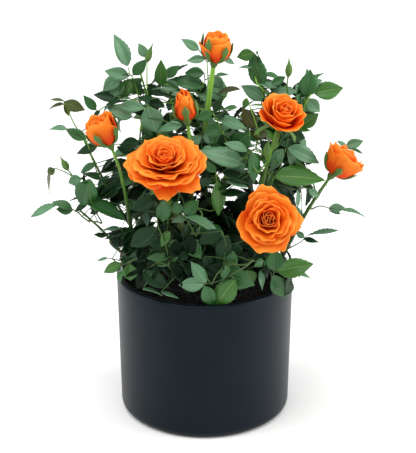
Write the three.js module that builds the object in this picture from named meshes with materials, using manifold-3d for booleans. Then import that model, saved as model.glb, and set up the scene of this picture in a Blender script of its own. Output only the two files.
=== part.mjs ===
// A miniature garden rose in full flower, growing in a stoneware cover pot.
// Millimetres, +Z up. The origin is the centre of the pot's flat underside; -Y is the side that
// the open roses face. The pot, the compost, every cane and rose, and every mass of leaves is a
// closed solid of its own.
import * as THREE from "three";
import { mergeVertices } from "three/addons/utils/BufferGeometryUtils.js";
import Module from "manifold-3d";

const wasm = await Module();
wasm.setup();

// ---------------------------------------------------------------- driving dimensions

const POT = {
  height: 117,
  rimRadius: 70,
  footRadius: 67.2, // where the wall would meet the ground without its rounded foot
  wall: 5.5,
  floor: 7,
  footRound: 7,
  lipRound: 2.2,
  sides: 48,
};

const COMPOST = { level: 104, crown: 2, sides: 32 };

// Two pieces that touch keep GAP between them. Leaves keep LEAF_GAP to everything round them,
// and a mass's facets that stray less than LEAF_FLAT from flat are joined.
const GAP = 0.4;
const LEAF_GAP = 1;
const LEAF_FLAT = 0.5;

const CANE = { sides: 6, rings: 7, footThickness: 5, headThickness: 2.8 };
const ROSE_SIDES = 12;

// ---------------------------------------------------------------- materials

const material = (color, roughness) =>
  new THREE.MeshStandardMaterial({ color, roughness, metalness: 0 });

const STONEWARE = material(0x22272e, 0.45);
const PEAT = material(0x1d1812, 0.95);
const GREEN_BARK = material(0x4f7a2c, 0.6);
const LEAF = material(0x2f5f37, 0.55);
const PETAL = material(0xf97a1c, 0.6);

// ---------------------------------------------------------------- the plant's plan

// Directions are [turn, rise] in degrees: turn 0 faces -Y and 90 faces +X, rise is above level.

// Each rose: where its hip sits on the cane, the way it looks, how wide and tall it is, and how
// far it has opened, from 0, a bud, to 1, flat.
const ROSES = {
  front_left: { hip: [-29, -58, 223], faces: [-6, 68], width: 62, height: 25, open: 1 },
  front_right: { hip: [47, -66, 187], faces: [6, 30], width: 50, height: 25, open: 0.8 },
  upper_right: { hip: [56, -30, 250], faces: [32, 62], width: 36, height: 27, open: 0.6 },
  top: { hip: [7, 8, 287], faces: [115, 80], width: 26, height: 26, open: 0.3 },
  centre_bud: { hip: [-13, -32, 255], faces: [-40, 78], width: 17, height: 27, open: 0.1 },
  left: { hip: [-72, -18, 229], faces: [-90, 64], width: 28, height: 27, open: 0.3 },
  right: { hip: [98, -8, 200], faces: [104, 52], width: 33, height: 28, open: 0.5 },
};

// Each flowering cane rises whole from the compost to the hip of the rose of the same name.
// lean is how far, in degrees, it tips towards its head where it leaves the compost, and neck is
// how far below the head it bends over.
const FLOWERING_CANES = {
  front_left: { foot: [-26, 3], lean: 2, neck: 34 },
  front_right: { foot: [30, -2], lean: 6, neck: 30 },
  upper_right: { foot: [28, 24], lean: 22, neck: 14 },
  top: { foot: [0, 34], lean: 0, neck: 50 },
  centre_bud: { foot: [-12, 24], lean: 4, neck: 44 },
  left: { foot: [-54, 13], lean: 10, neck: 18 },
  right: { foot: [55, 18], lean: 24, neck: 20 },
};

// Each leafy cane ends where it enters the mass of leaves that it carries.
const LEAFY_CANES = {
  far_left: { foot: [-50, 4], lean: 32, neck: 30, head: [-100, -2, 170], faces: [-90, 40] },
  left_top: { foot: [-38, 30], lean: 30, neck: 40, head: [-99, 6, 238], faces: [-70, 70] },
  top_left: { foot: [-20, 42], lean: 6, neck: 56, head: [-51, 15, 282], faces: [-60, 75] },
  right_top: { foot: [38, 38], lean: 10, neck: 50, head: [76, 10, 248], faces: [80, 55] },
  back_left: { foot: [-30, 46], lean: 12, neck: 26, head: [-50, 62, 186], faces: [-150, 62] },
  back_right: { foot: [20, 48], lean: 12, neck: 26, head: [54, 58, 186], faces: [150, 62] },
  back_top: { foot: [-4, 48], lean: 6, neck: 32, head: [0, 72, 202], faces: [180, 75] },
};

// Each mass of leaves: its middle, its half widths along X, Y and Z, and how finely it is
// faceted. The outer sprays come first, because a later mass is cut back from an earlier one.
const LEAVES = {
  top_left: { middle: [-54, 15, 293], half: [17, 14, 15], detail: 1 },
  collar_top: { middle: [2, 34, 281], half: [21, 14, 8], detail: 1 },
  behind_right_rose: { middle: [114, 22, 219], half: [12, 11, 5], detail: 1 },
  far_right: { middle: [105, 5, 168], half: [21, 12, 7], detail: 1 },
  far_right_low: { middle: [86, 0, 146], half: [17, 12, 7], detail: 1 },
  far_left: { middle: [-117, -2, 173], half: [21, 12, 8], detail: 1 },
  left_drop: { middle: [-115, 10, 199], half: [10, 10, 12], detail: 1 },
  left_top: { middle: [-102, 6, 247], half: [18, 16, 16], detail: 1 },
  left_mid: { middle: [-85, 14, 212], half: [16, 15, 10], detail: 1 },
  rim_left: { middle: [-68, -36, 138], half: [17, 17, 9], detail: 1 },
  front: { middle: [5, -70, 137], half: [25, 19, 13], detail: 1 },
  low_right: { middle: [65, -44, 140], half: [19, 19, 15], detail: 1 },
  right_top: { middle: [84, 12, 261], half: [22, 20, 18], detail: 2 },
  upper_right: { middle: [40, 17, 273], half: [17, 19, 21], detail: 1 },
  top_gap: { middle: [20, 30, 254], half: [11, 13, 10], detail: 1 },
  upper_left: { middle: [-64, 0, 262], half: [20, 22, 22], detail: 2 },
  top_centre: { middle: [-22, 18, 267], half: [21, 22, 17], detail: 2 },
  centre_left: { middle: [-46, 20, 232], half: [18, 19, 15], detail: 1 },
  right_shoulder: { middle: [70, 4, 207], half: [20, 24, 26], detail: 2 },
  left: { middle: [-82, 0, 184], half: [26, 24, 20], detail: 2 },
  low_left: { middle: [-66, 0, 148], half: [21, 24, 15], detail: 1 },
  centre: { middle: [18, 6, 216], half: [26, 26, 34], detail: 2 },
  heart: { middle: [-30, 18, 196], half: [30, 24, 27], detail: 2 },
  low_mid_right: { middle: [33, -40, 144], half: [17, 20, 20], detail: 1 },
  low_centre: { middle: [-20, -32, 150], half: [34, 27, 27], detail: 2 },
  low_heart: { middle: [10, 18, 152], half: [40, 26, 28], detail: 1 },
  back_low_left: { middle: [-52, 50, 152], half: [30, 27, 26], detail: 2 },
  back_low_right: { middle: [54, 50, 152], half: [30, 27, 26], detail: 2 },
  back_left: { middle: [-50, 68, 208], half: [30, 28, 28], detail: 2 },
  back_right: { middle: [58, 64, 212], half: [30, 28, 30], detail: 2 },
  back_top: { middle: [4, 80, 222], half: [27, 26, 28], detail: 2 },
};

// ---------------------------------------------------------------- solids

// A closed three.js geometry as a manifold solid, and back again.
function solidOf(geometry) {
  const bare = geometry.clone();
  bare.deleteAttribute("normal");
  bare.deleteAttribute("uv");
  const merged = mergeVertices(bare, 1e-4);
  return new wasm.Manifold(
    new wasm.Mesh({
      numProp: 3,
      vertProperties: new Float32Array(merged.attributes.position.array),
      triVerts: new Uint32Array(merged.index.array),
    }),
  );
}

function geometryOf(solid) {
  const { vertProperties, triVerts } = solid.getMesh();
  const geometry = new THREE.BufferGeometry();
  geometry.setAttribute("position", new THREE.BufferAttribute(vertProperties, 3));
  geometry.setIndex(new THREE.BufferAttribute(triVerts, 1));
  geometry.computeVertexNormals();
  return geometry;
}

function largestPiece(solid) {
  return solid.decompose().sort((a, b) => b.volume() - a.volume())[0];
}

// solid with every cutter that reaches it taken away.
function cutBack(solid, cutters) {
  return largestPiece(cutters.reduce((left, cutter) => left.subtract(cutter), solid));
}

// ---------------------------------------------------------------- pot and compost

const arcPoints = (x, z, radius, from, to, steps) =>
  Array.from({ length: steps + 1 }, (_, i) => {
    const angle = THREE.MathUtils.degToRad(from + ((to - from) * i) / steps);
    return new THREE.Vector2(x + radius * Math.cos(angle), z + radius * Math.sin(angle));
  });

// A profile of [radius, height] points turned round the Z axis.
function turned(profile, sides) {
  return new THREE.LatheGeometry(profile, sides).rotateX(Math.PI / 2);
}

// The cup: flat underside, rounded foot, a wall that widens a little to a softly rounded lip.
function potGeometry(grow = 0) {
  const { height, rimRadius, footRadius, wall, floor, footRound, lipRound } = POT;
  const inner = rimRadius - wall;
  const profile = [
    new THREE.Vector2(0, -grow),
    ...arcPoints(footRadius - footRound, footRound, footRound + grow, -90, 0, 4),
    ...arcPoints(rimRadius - lipRound, height - lipRound, lipRound + grow, 0, 90, 2),
    ...arcPoints(inner + lipRound, height - lipRound, lipRound + grow, 90, 180, 2),
    new THREE.Vector2(footRadius - wall - grow, floor + footRound),
    new THREE.Vector2(footRadius - wall - footRound, floor + grow),
    new THREE.Vector2(0, floor + grow),
  ];
  return turned(profile, POT.sides);
}

// The compost fills the cup to a slight crown below the lip.
function compostGeometry() {
  const { rimRadius, footRadius, wall, floor, footRound, height } = POT;
  const bottomRadius = footRadius - wall - GAP;
  const share = (COMPOST.level - floor - footRound) / (height - floor - footRound);
  const topRadius = bottomRadius + (rimRadius - footRadius) * share - GAP;
  const profile = [
    new THREE.Vector2(0, floor + GAP),
    new THREE.Vector2(bottomRadius - footRound, floor + GAP),
    new THREE.Vector2(bottomRadius, floor + footRound + GAP),
    new THREE.Vector2(topRadius, COMPOST.level - COMPOST.crown),
    new THREE.Vector2(topRadius * 0.7, COMPOST.level),
    new THREE.Vector2(0, COMPOST.level),
  ];
  return turned(profile, COMPOST.sides);
}

// ---------------------------------------------------------------- canes

function direction([turn, rise]) {
  const a = THREE.MathUtils.degToRad(turn);
  const b = THREE.MathUtils.degToRad(rise);
  return new THREE.Vector3(
    Math.sin(a) * Math.cos(b),
    -Math.cos(a) * Math.cos(b),
    Math.sin(b),
  );
}

// A cane leaves the compost leaning towards its head, and bends until it points the way that
// its head faces.
function caneCurve({ foot: [x, y], lean, neck, head, faces }) {
  const start = new THREE.Vector3(x, y, COMPOST.level + GAP);
  const end = new THREE.Vector3(...head);
  const reach = start.distanceTo(end);
  const outwards = new THREE.Vector3(end.x - x, end.y - y, 0).normalize();
  const up = outwards.multiplyScalar(Math.tan(THREE.MathUtils.degToRad(lean)));
  up.z = 1;
  return new THREE.CubicBezierCurve3(
    start,
    start.clone().addScaledVector(up.normalize(), reach * 0.5),
    end.clone().addScaledVector(direction(faces), -neck),
    end,
  );
}

// A cylinder bent along the cane's curve, with a flat cut at its foot. grow widens it all round.
function caneGeometry(cane, grow = 0) {
  const curve = caneCurve(cane);
  const { sides, rings, footThickness, headThickness } = CANE;
  const geometry = new THREE.CylinderGeometry(1, 1, 1, sides, rings);
  const position = geometry.attributes.position;
  for (let i = 0; i < position.count; i++) {
    const along = position.getY(i) + 0.5;
    const thickness = THREE.MathUtils.lerp(footThickness, headThickness, along);
    const radius = thickness / 2 + grow;
    // The lowest ring lies level, so that the cane stands flat on the compost.
    const tangent = along > 0 ? curve.getTangentAt(along) : new THREE.Vector3(0, 0, 1);
    const across = new THREE.Vector3(0, 1, 0).cross(tangent).normalize();
    const forwards = new THREE.Vector3().crossVectors(tangent, across);
    const point = curve
      .getPointAt(along)
      .addScaledVector(forwards, radius * position.getX(i))
      .addScaledVector(across, radius * position.getZ(i))
      .addScaledVector(tangent, grow * (2 * along - 1));
    position.setXYZ(i, ...point);
  }
  return geometry;
}

// ---------------------------------------------------------------- roses

// A closed flower's outline: a hip, a cup that widens as the rose opens, and a domed middle.
function roseGeometry({ hip, faces, width, height, open }, grow = 0) {
  const neck = 3.5;
  const widest = width / 2;
  const shoulder = height * (0.5 + 0.25 * open);
  const profile = [
    new THREE.Vector2(0, -grow),
    new THREE.Vector2(neck + grow, -grow),
    new THREE.Vector2(THREE.MathUtils.lerp(neck, widest, 0.75) + grow, shoulder * 0.45),
    new THREE.Vector2(widest + grow, shoulder),
    new THREE.Vector2(widest * (0.75 + 0.1 * open) + grow, height * 0.92 + grow),
    new THREE.Vector2(0, height + grow),
  ];
  const upright = turned(profile, ROSE_SIDES);
  const turn = new THREE.Quaternion().setFromUnitVectors(
    new THREE.Vector3(0, 0, 1),
    direction(faces),
  );
  return upright
    .applyQuaternion(turn)
    .translate(...hip)
    .translate(...direction(faces).multiplyScalar(GAP).toArray());
}

// ---------------------------------------------------------------- masses of leaves

// An uneven lump: a faceted ball whose surface swells and dips in a way of its own.
function leavesGeometry({ middle, half, detail }, grow = 0) {
  const geometry = new THREE.IcosahedronGeometry(1, detail);
  const position = geometry.attributes.position;
  const [a, b, c] = middle;
  for (let i = 0; i < position.count; i++) {
    const [x, y, z] = [position.getX(i), position.getY(i), position.getZ(i)];
    const swell =
      1 +
      0.09 * Math.sin(3.1 * x + 1.7 * z + a) +
      0.08 * Math.sin(3.7 * y - 2.3 * x + b) +
      0.07 * Math.sin(4.3 * z + 2.9 * y + c);
    position.setXYZ(
      i,
      x * (half[0] * swell + grow) + a,
      y * (half[1] * swell + grow) + b,
      z * (half[2] * swell + grow) + c,
    );
  }
  return geometry;
}

// ---------------------------------------------------------------- assembly

const rose = new THREE.Group();

function addPiece(name, solid, finish) {
  const mesh = new THREE.Mesh(geometryOf(solid), finish);
  mesh.name = name;
  rose.add(mesh);
}

addPiece("pot", solidOf(potGeometry()), STONEWARE);
addPiece("compost", solidOf(compostGeometry()), PEAT);

const cutters = [solidOf(potGeometry(LEAF_GAP))];

for (const [name, flower] of Object.entries(ROSES)) {
  addPiece(`rose_${name}`, solidOf(roseGeometry(flower)), PETAL);
  cutters.push(solidOf(roseGeometry(flower, LEAF_GAP)));

  const cane = { ...FLOWERING_CANES[name], head: flower.hip, faces: flower.faces };
  addPiece(`cane_${name}`, solidOf(caneGeometry(cane)), GREEN_BARK);
  cutters.push(solidOf(caneGeometry(cane, LEAF_GAP)));
}

for (const [name, cane] of Object.entries(LEAFY_CANES)) {
  const mass = solidOf(leavesGeometry(LEAVES[name], GAP));
  addPiece(`cane_${name}`, cutBack(solidOf(caneGeometry(cane)), [mass]), GREEN_BARK);
}

const masses = [];
for (const [name, mass] of Object.entries(LEAVES)) {
  const passingCanes = Object.keys(LEAFY_CANES)
    .filter((other) => other !== name)
    .map((other) => solidOf(caneGeometry(LEAFY_CANES[other], LEAF_GAP)));
  const lump = solidOf(leavesGeometry(mass));
  const leaves = cutBack(lump, [...cutters, ...passingCanes, ...masses]);
  masses.push(solidOf(leavesGeometry(mass, LEAF_GAP)));
  addPiece(`leaves_${name}`, leaves.simplify(LEAF_FLAT), LEAF);
}

export default rose;
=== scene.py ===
# A miniature garden rose in full flower, growing in a satin stoneware cover pot.
# The object is built in the order it would be put together: pot, compost, canes, leaves, roses
# and buds. Lengths are in metres, and MM turns millimetres into them.
import math

import bpy
import numpy as np
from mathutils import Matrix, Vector
from mathutils.bvhtree import BVHTree


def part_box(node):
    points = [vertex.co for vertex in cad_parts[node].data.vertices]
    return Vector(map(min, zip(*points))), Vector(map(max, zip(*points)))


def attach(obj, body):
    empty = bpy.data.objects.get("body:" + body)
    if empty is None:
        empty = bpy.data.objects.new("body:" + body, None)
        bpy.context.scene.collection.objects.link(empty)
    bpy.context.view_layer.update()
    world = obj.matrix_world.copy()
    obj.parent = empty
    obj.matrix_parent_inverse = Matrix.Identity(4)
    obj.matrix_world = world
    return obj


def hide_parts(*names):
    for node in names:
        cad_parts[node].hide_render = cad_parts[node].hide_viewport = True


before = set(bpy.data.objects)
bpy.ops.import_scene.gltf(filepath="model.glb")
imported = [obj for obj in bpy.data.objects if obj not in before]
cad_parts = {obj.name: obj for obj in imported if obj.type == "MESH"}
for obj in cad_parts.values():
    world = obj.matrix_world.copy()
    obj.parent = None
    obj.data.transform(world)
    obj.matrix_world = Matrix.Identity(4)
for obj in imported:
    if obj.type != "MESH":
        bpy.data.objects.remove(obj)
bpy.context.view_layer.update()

# ---------------------------------------------------------------- the studio
# A pale matt floor under soft white light, seen by a long lens from a little above. It isn't
# part of the object.

MM = 0.001
LENS, SENSOR = 201.3, 36.0
LOOKS_DOWN = math.radians(23.43)
DISTANCE = 2.0
AIM = Vector((0.00257, 0.0, 0.1543))

scene = bpy.context.scene
scene.view_settings.view_transform = "Standard"

camera = bpy.data.objects.new("camera", bpy.data.cameras.new("camera"))
camera.data.lens = LENS
camera.data.sensor_width = SENSOR
camera.location = AIM + DISTANCE * Vector((0, -math.cos(LOOKS_DOWN), math.sin(LOOKS_DOWN)))
camera.rotation_euler = (math.pi / 2 - LOOKS_DOWN, 0, 0)
scene.collection.objects.link(camera)
scene.camera = camera


def colour(code):
    """The linear RGBA of an sRGB hex code such as #2f6b3a."""
    shares = [int(code[i : i + 2], 16) / 255 for i in (1, 3, 5)]
    linear = [c / 12.92 if c <= 0.04045 else ((c + 0.055) / 1.055) ** 2.4 for c in shares]
    return (*linear, 1.0)


def add(tree, kind, inputs=None, stops=(), **settings):
    """A shader node. inputs gives each socket a value, or the node or output socket that it is
    linked from. stops gives a colour ramp its places and colours."""
    made = tree.nodes.new("ShaderNode" + kind)
    for name, value in settings.items():
        setattr(made, name, value)
    if stops:
        ramp = made.color_ramp.elements
        for end, (place, code) in ((0, stops[0]), (1, stops[-1])):
            ramp[end].position = place
            ramp[end].color = colour(code)
        for place, code in stops[1:-1]:
            ramp.new(place).color = colour(code)
    for socket, value in (inputs or {}).items():
        if isinstance(value, bpy.types.Node):
            value = value.outputs[0]
        if isinstance(value, bpy.types.NodeSocket):
            tree.links.new(value, made.inputs[socket])
        else:
            made.inputs[socket].default_value = value
    return made


def new_material(name):
    """A material with an empty node tree, and the tree."""
    material = bpy.data.materials.new(name)
    material.use_nodes = True
    material.node_tree.nodes.clear()
    return material, material.node_tree


def new_piece(name, points, faces, materials, finish=None, uv=None):
    """A smooth mesh object. finish gives each face's material, and uv each point's place."""
    mesh = bpy.data.meshes.new(name)
    mesh.from_pydata(np.asarray(points).tolist(), [], faces)
    for material in materials:
        mesh.materials.append(material)
    if finish is not None:
        mesh.polygons.foreach_set("material_index", np.asarray(finish, np.int32))
    if uv is not None:
        corners = np.empty(len(mesh.loops), np.int32)
        mesh.loops.foreach_get("vertex_index", corners)
        layer = mesh.uv_layers.new(name="blade")
        layer.uv.foreach_set("vector", np.asarray(uv, np.float32)[corners].ravel())
    mesh.shade_smooth()
    made = bpy.data.objects.new(name, mesh)
    scene.collection.objects.link(made)
    return made


# Matt paper: an even white without any shine, so that only the soft shadows show on it.
PAPER, tree = new_material("matt_white_paper")
paper = add(tree, "BsdfPrincipled", {"Base Color": colour("#f4f4f3"), "Roughness": 0.9})
add(tree, "OutputMaterial", {"Surface": paper})

FLOOR_REACH = 5.0
floor_corners = [(x * FLOOR_REACH, y * FLOOR_REACH, 0) for x, y in ((-1, -1), (1, -1), (1, 1), (-1, 1))]
floor = new_piece("floor", floor_corners, [(0, 1, 2, 3)], [PAPER])

scene.world = bpy.data.worlds.new("studio")
scene.world.use_nodes = True
sky = scene.world.node_tree.nodes["Background"]
sky.inputs["Color"].default_value = colour("#ffffff")
sky.inputs["Strength"].default_value = 0.55


def soft_light(name, place, size, power):
    """A square lamp at place, aimed at the middle of the plant."""
    lamp = bpy.data.objects.new(name, bpy.data.lights.new(name, "AREA"))
    lamp.data.size = size
    lamp.data.energy = power
    lamp.location = place
    lamp.rotation_euler = (AIM - lamp.location).to_track_quat("-Z", "Y").to_euler()
    scene.collection.objects.link(lamp)


soft_light("top_light", (-0.3, -0.3, 2.2), 2.4, 52)
soft_light("left_light", (-1.6, -0.2, 0.8), 1.0, 11)
soft_light("right_light", (1.7, -0.1, 0.7), 1.3, 30)

# ---------------------------------------------------------------- the pot
# A straight-sided cup of slip-cast stoneware with a slate satin glaze. Its lip and foot are
# rounded, and its underside is ground flat.

POT_SIDES = 192
LIP, FOOT_ROUND, WALL, POT_FLOOR = 2.2 * MM, 7 * MM, 5.5 * MM, 7 * MM
FOOT_DRAFT = 2.8 * MM  # the wall is this much narrower at the foot than at the rim

pot_low, pot_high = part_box("pot")
RIM = (pot_high.x - pot_low.x) / 2
POT_HEIGHT = pot_high.z


def grain(mm):
    """The Scale of a texture whose features are that many millimetres across."""
    return 1 / (mm * MM)


def arc(r, z, radius, start, end, steps):
    """Points [r, z] of an arc about (r, z), from start to end degrees."""
    turn = np.radians(np.linspace(start, end, steps + 1))
    return np.column_stack((r + radius * np.cos(turn), z + radius * np.sin(turn)))


def turned(profile, sides):
    """A profile of [r, z] that starts and ends on the axis, turned round it: points and quads."""
    profile = np.asarray(profile)
    angle = np.linspace(0, 2 * math.pi, sides, endpoint=False)
    r, z = profile[1:-1, 0], profile[1:-1, 1]
    x = np.outer(np.cos(angle), r)
    y = np.outer(np.sin(angle), r)
    points = np.stack((x, y, np.broadcast_to(z, x.shape)), -1).reshape(-1, 3)
    rings = len(r)
    faces = []
    for i in range(sides):
        j = (i + 1) % sides
        for k in range(rings - 1):
            faces.append((i * rings + k, j * rings + k, j * rings + k + 1, i * rings + k + 1))
    poles = np.array([(0, 0, profile[0, 1]), (0, 0, profile[-1, 1])])
    first, last = len(points), len(points) + 1
    for i in range(sides):
        j = (i + 1) % sides
        faces.append((first, j * rings, i * rings))
        faces.append((last, i * rings + rings - 1, j * rings + rings - 1))
    return np.vstack((points, poles)), faces


wall_foot = RIM - FOOT_DRAFT
pot_profile = np.vstack(
    (
        [(0, 0), (wall_foot - FOOT_ROUND - 2 * MM, 0)],
        arc(wall_foot - FOOT_ROUND, FOOT_ROUND, FOOT_ROUND, -90, 0, 10),
        [(wall_foot + FOOT_DRAFT * k / 8, FOOT_ROUND + (POT_HEIGHT - 10 * MM) * k / 8) for k in range(1, 8)],
        arc(RIM - LIP, POT_HEIGHT - LIP, LIP, 0, 90, 6),
        arc(RIM - WALL + LIP, POT_HEIGHT - LIP, LIP, 90, 180, 6),
        [(RIM - WALL, POT_HEIGHT - 12 * MM), (wall_foot - WALL, POT_FLOOR + FOOT_ROUND)],
        arc(wall_foot - WALL - FOOT_ROUND, POT_FLOOR + FOOT_ROUND, FOOT_ROUND, 0, -90, 6),
        [(0, POT_FLOOR)],
    )
)

# Satin glaze: nearly black slate, with a soft sheen that brightens where the wall turns away. Its reflections
# are tinted a pale bluish grey, a painted colour in the reflected light that the white lamps don't give.
GLAZE, tree = new_material("satin_glazed_stoneware")
place = add(tree, "TexCoord").outputs["Object"]
cloud = add(tree, "TexNoise", {"Vector": place, "Scale": grain(28), "Detail": 3})
pores = add(tree, "TexNoise", {"Vector": place, "Scale": grain(0.9), "Detail": 2})
tone = add(tree, "ValToRGB", {"Fac": cloud}, ((0.35, "#070c11"), (0.65, "#0a1117")))
satin = add(tree, "MapRange", {"Value": cloud, "To Min": 0.36, "To Max": 0.44})
peel = add(tree, "Bump", {"Height": pores, "Strength": 0.12, "Distance": 0.12 * MM})
look = {
    "Base Color": tone, "Roughness": satin, "Normal": peel, "Specular IOR Level": 0.2,
    # The Specular Tint is a painted bluish colour in the glaze's reflections.
    "Specular Tint": colour("#bcd4e6"),
}
glaze = add(tree, "BsdfPrincipled", look)
add(tree, "OutputMaterial", {"Surface": glaze})

pot_points, pot_faces = turned(pot_profile, POT_SIDES)
pot = new_piece("stoneware_pot", pot_points, pot_faces, [GLAZE])
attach(pot, "root")
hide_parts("pot")

# ---------------------------------------------------------------- the compost
# Dark, moist peat with crumbs and shreds of bark on top, filled to a finger's width below the
# lip. It is one body with the loose crumbs pressed into it.

CRUMBS = 900
SOIL_RINGS, SOIL_SIDES = 29, 96
CRUMB_SIZES = (0.8 * MM, 3.2 * MM)
seeded = np.random.default_rng(11)

soil_low, soil_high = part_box("compost")
SOIL_REACH = (soil_high.x - soil_low.x) / 2
SOIL_LEVEL = soil_high.z


def unevenness(x, y, size):
    """A smooth bumpy height between about -1 and 1 whose bumps are size across."""
    k = 2 * math.pi / size
    return (
        np.sin(k * x + 1.3 * np.sin(0.7 * k * y))
        + np.sin(1.3 * k * y + 1.1 * np.sin(0.9 * k * x + 2))
        + np.sin(0.8 * k * (x + y) + 4)
    ) / 3


# A ball of 20 faces, which a crumb is a squashed copy of.
GOLDEN = (1 + math.sqrt(5)) / 2
BALL = np.array(
    [(s, t * GOLDEN, 0) for s in (-1, 1) for t in (-1, 1)]
    + [(0, s, t * GOLDEN) for s in (-1, 1) for t in (-1, 1)]
    + [(t * GOLDEN, 0, s) for s in (-1, 1) for t in (-1, 1)]
)
BALL /= np.linalg.norm(BALL[0])


def ball_faces():
    """The ball's triangles: every three corners that are all one edge apart, wound outwards."""
    edge = min(np.linalg.norm(BALL[0] - b) for b in BALL[1:]) * 1.01
    near = np.linalg.norm(BALL[:, None] - BALL[None], axis=-1) < edge
    found = []
    for i in range(12):
        for j in range(i + 1, 12):
            for k in range(j + 1, 12):
                if near[i, j] and near[j, k] and near[i, k]:
                    normal = np.cross(BALL[j] - BALL[i], BALL[k] - BALL[i])
                    outwards = normal @ BALL[i] > 0
                    found.append((i, j, k) if outwards else (i, k, j))
    return found


BALL_FACES = ball_faces()

soil_rings = np.linspace(0, 1, SOIL_RINGS + 1)[1:]
bowl = [(0, POT_FLOOR + 1 * MM), (SOIL_REACH - 8 * MM, POT_FLOOR + 1 * MM), (SOIL_REACH - 3 * MM, 20 * MM)]
top = [(SOIL_REACH * (1 - share * 0.999), SOIL_LEVEL - 2 * MM * (1 - share)) for share in soil_rings]
soil_profile = bowl + [(SOIL_REACH - 0.4 * MM, SOIL_LEVEL - 3 * MM)] + top + [(0, SOIL_LEVEL)]
soil_points, soil_faces = turned(soil_profile, SOIL_SIDES)
loose = soil_points[:, 2] > SOIL_LEVEL - 2.5 * MM
dips = unevenness(soil_points[:, 0], soil_points[:, 1], 17 * MM) * 1.4 * MM
dips += unevenness(soil_points[:, 1], soil_points[:, 0], 5 * MM) * 0.7 * MM
soil_points[loose, 2] += dips[loose] - 1.2 * MM

crumb_points, crumb_faces = [soil_points], [list(f) for f in soil_faces]
count = len(soil_points)
for _ in range(CRUMBS):
    reach = (SOIL_REACH - 3 * MM) * math.sqrt(seeded.uniform())
    turn = seeded.uniform(0, 2 * math.pi)
    size = seeded.uniform(*CRUMB_SIZES) * seeded.uniform(0.5, 1)
    shape = BALL * seeded.uniform(0.45, 1, (12, 1)) * size * [1, seeded.uniform(0.3, 1), 0.6]
    c, s = math.cos(turn * 5), math.sin(turn * 5)
    spot = (reach * math.cos(turn), reach * math.sin(turn), SOIL_LEVEL - 0.8 * MM)
    crumb_points.append(shape @ [[c, s, 0], [-s, c, 0], [0, 0, 1]] + spot)
    crumb_faces += [[a + count for a in f] for f in BALL_FACES]
    count += 12

# Peat: matt black-brown, paler where a crumb has dried.
PEAT, tree = new_material("moist_peat")
place = add(tree, "TexCoord").outputs["Object"]
clods = add(tree, "TexNoise", {"Vector": place, "Scale": grain(2.5), "Detail": 5})
tone = add(tree, "ValToRGB", {"Fac": clods}, ((0.4, "#080604"), (0.75, "#1f1711")))
rough = add(tree, "Bump", {"Height": clods, "Strength": 0.6, "Distance": 1 * MM})
peat = add(tree, "BsdfPrincipled", {"Base Color": tone, "Roughness": 0.95, "Normal": rough})
add(tree, "OutputMaterial", {"Surface": peat})

compost = new_piece("peat_compost", np.vstack(crumb_points), crumb_faces, [PEAT])
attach(compost, "root")
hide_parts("compost")

# ---------------------------------------------------------------- the canes
# Green rose canes as thick as a pencil lead at the head and twice that at the foot, ridged
# along their length, swollen at each joint, and set with small hooked prickles.

CANE_FOOT, CANE_HEAD = 2.5 * MM, 1.4 * MM  # radii
JOINT_SPACING = 19 * MM
CANE_STEPS, CANE_SIDES = 48, 12
PRICKLE_CHANCE = 0.22  # at each point of a cane's line
PRICKLE_SIZES = (1.6, 3)  # mm
BARK_LOW, BARK_HIGH = 110 * MM, 270 * MM  # the heights that its colour changes between
seeded = np.random.default_rng(5)


def unit(v):
    """v with length 1."""
    v = np.asarray(v, float)
    return v / np.linalg.norm(v, axis=-1, keepdims=True)


def nodes_called(start):
    """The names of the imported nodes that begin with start, in order."""
    return sorted(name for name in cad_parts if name.startswith(start))


def centreline(node):
    """Points up the middle of a packed cane, from the slices that level planes cut from it."""
    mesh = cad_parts[node].data
    points = np.array([v.co for v in mesh.vertices])
    edges = points[[tuple(e.vertices) for e in mesh.edges]]
    low, high = points[:, 2].min(), points[:, 2].max()
    found = [points[points[:, 2] < low + 0.1 * MM].mean(0)]
    for z in np.linspace(low, high - 1.5 * MM, 14)[1:]:
        crossing = edges[(edges[:, 0, 2] - z) * (edges[:, 1, 2] - z) < 0]
        share = (z - crossing[:, 0, 2]) / (crossing[:, 1, 2] - crossing[:, 0, 2])
        cut = crossing[:, 0] + share[:, None] * (crossing[:, 1] - crossing[:, 0])
        found.append((cut.min(0) + cut.max(0)) / 2)
    return np.array(found)


def runs(points):
    """How far along a line each of its points is."""
    return np.concatenate(([0], np.cumsum(np.linalg.norm(np.diff(points, axis=0), axis=1))))


def ways(points):
    """The direction of a line at each of its points."""
    return unit(np.gradient(points, axis=0))


def resampled(points, steps):
    """The same line as steps + 1 evenly spaced points, smoothed through the given ones."""
    points = np.asarray(points, float)
    padded = np.vstack((2 * points[0] - points[1], points, 2 * points[-1] - points[-2]))
    dense = []
    for a, b, c, d in zip(padded, padded[1:], padded[2:], padded[3:]):
        for t in np.linspace(0, 1, 9)[:-1]:
            square, cube = 2 * a - 5 * b + 4 * c - d, 3 * b - a - 3 * c + d
            dense.append(0.5 * (2 * b + (c - a) * t + square * t**2 + cube * t**3))
    dense = np.array(dense + [points[-1]])
    run = runs(dense)
    even = np.linspace(0, run[-1], steps + 1)
    return np.column_stack([np.interp(even, run, dense[:, k]) for k in range(3)])


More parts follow.
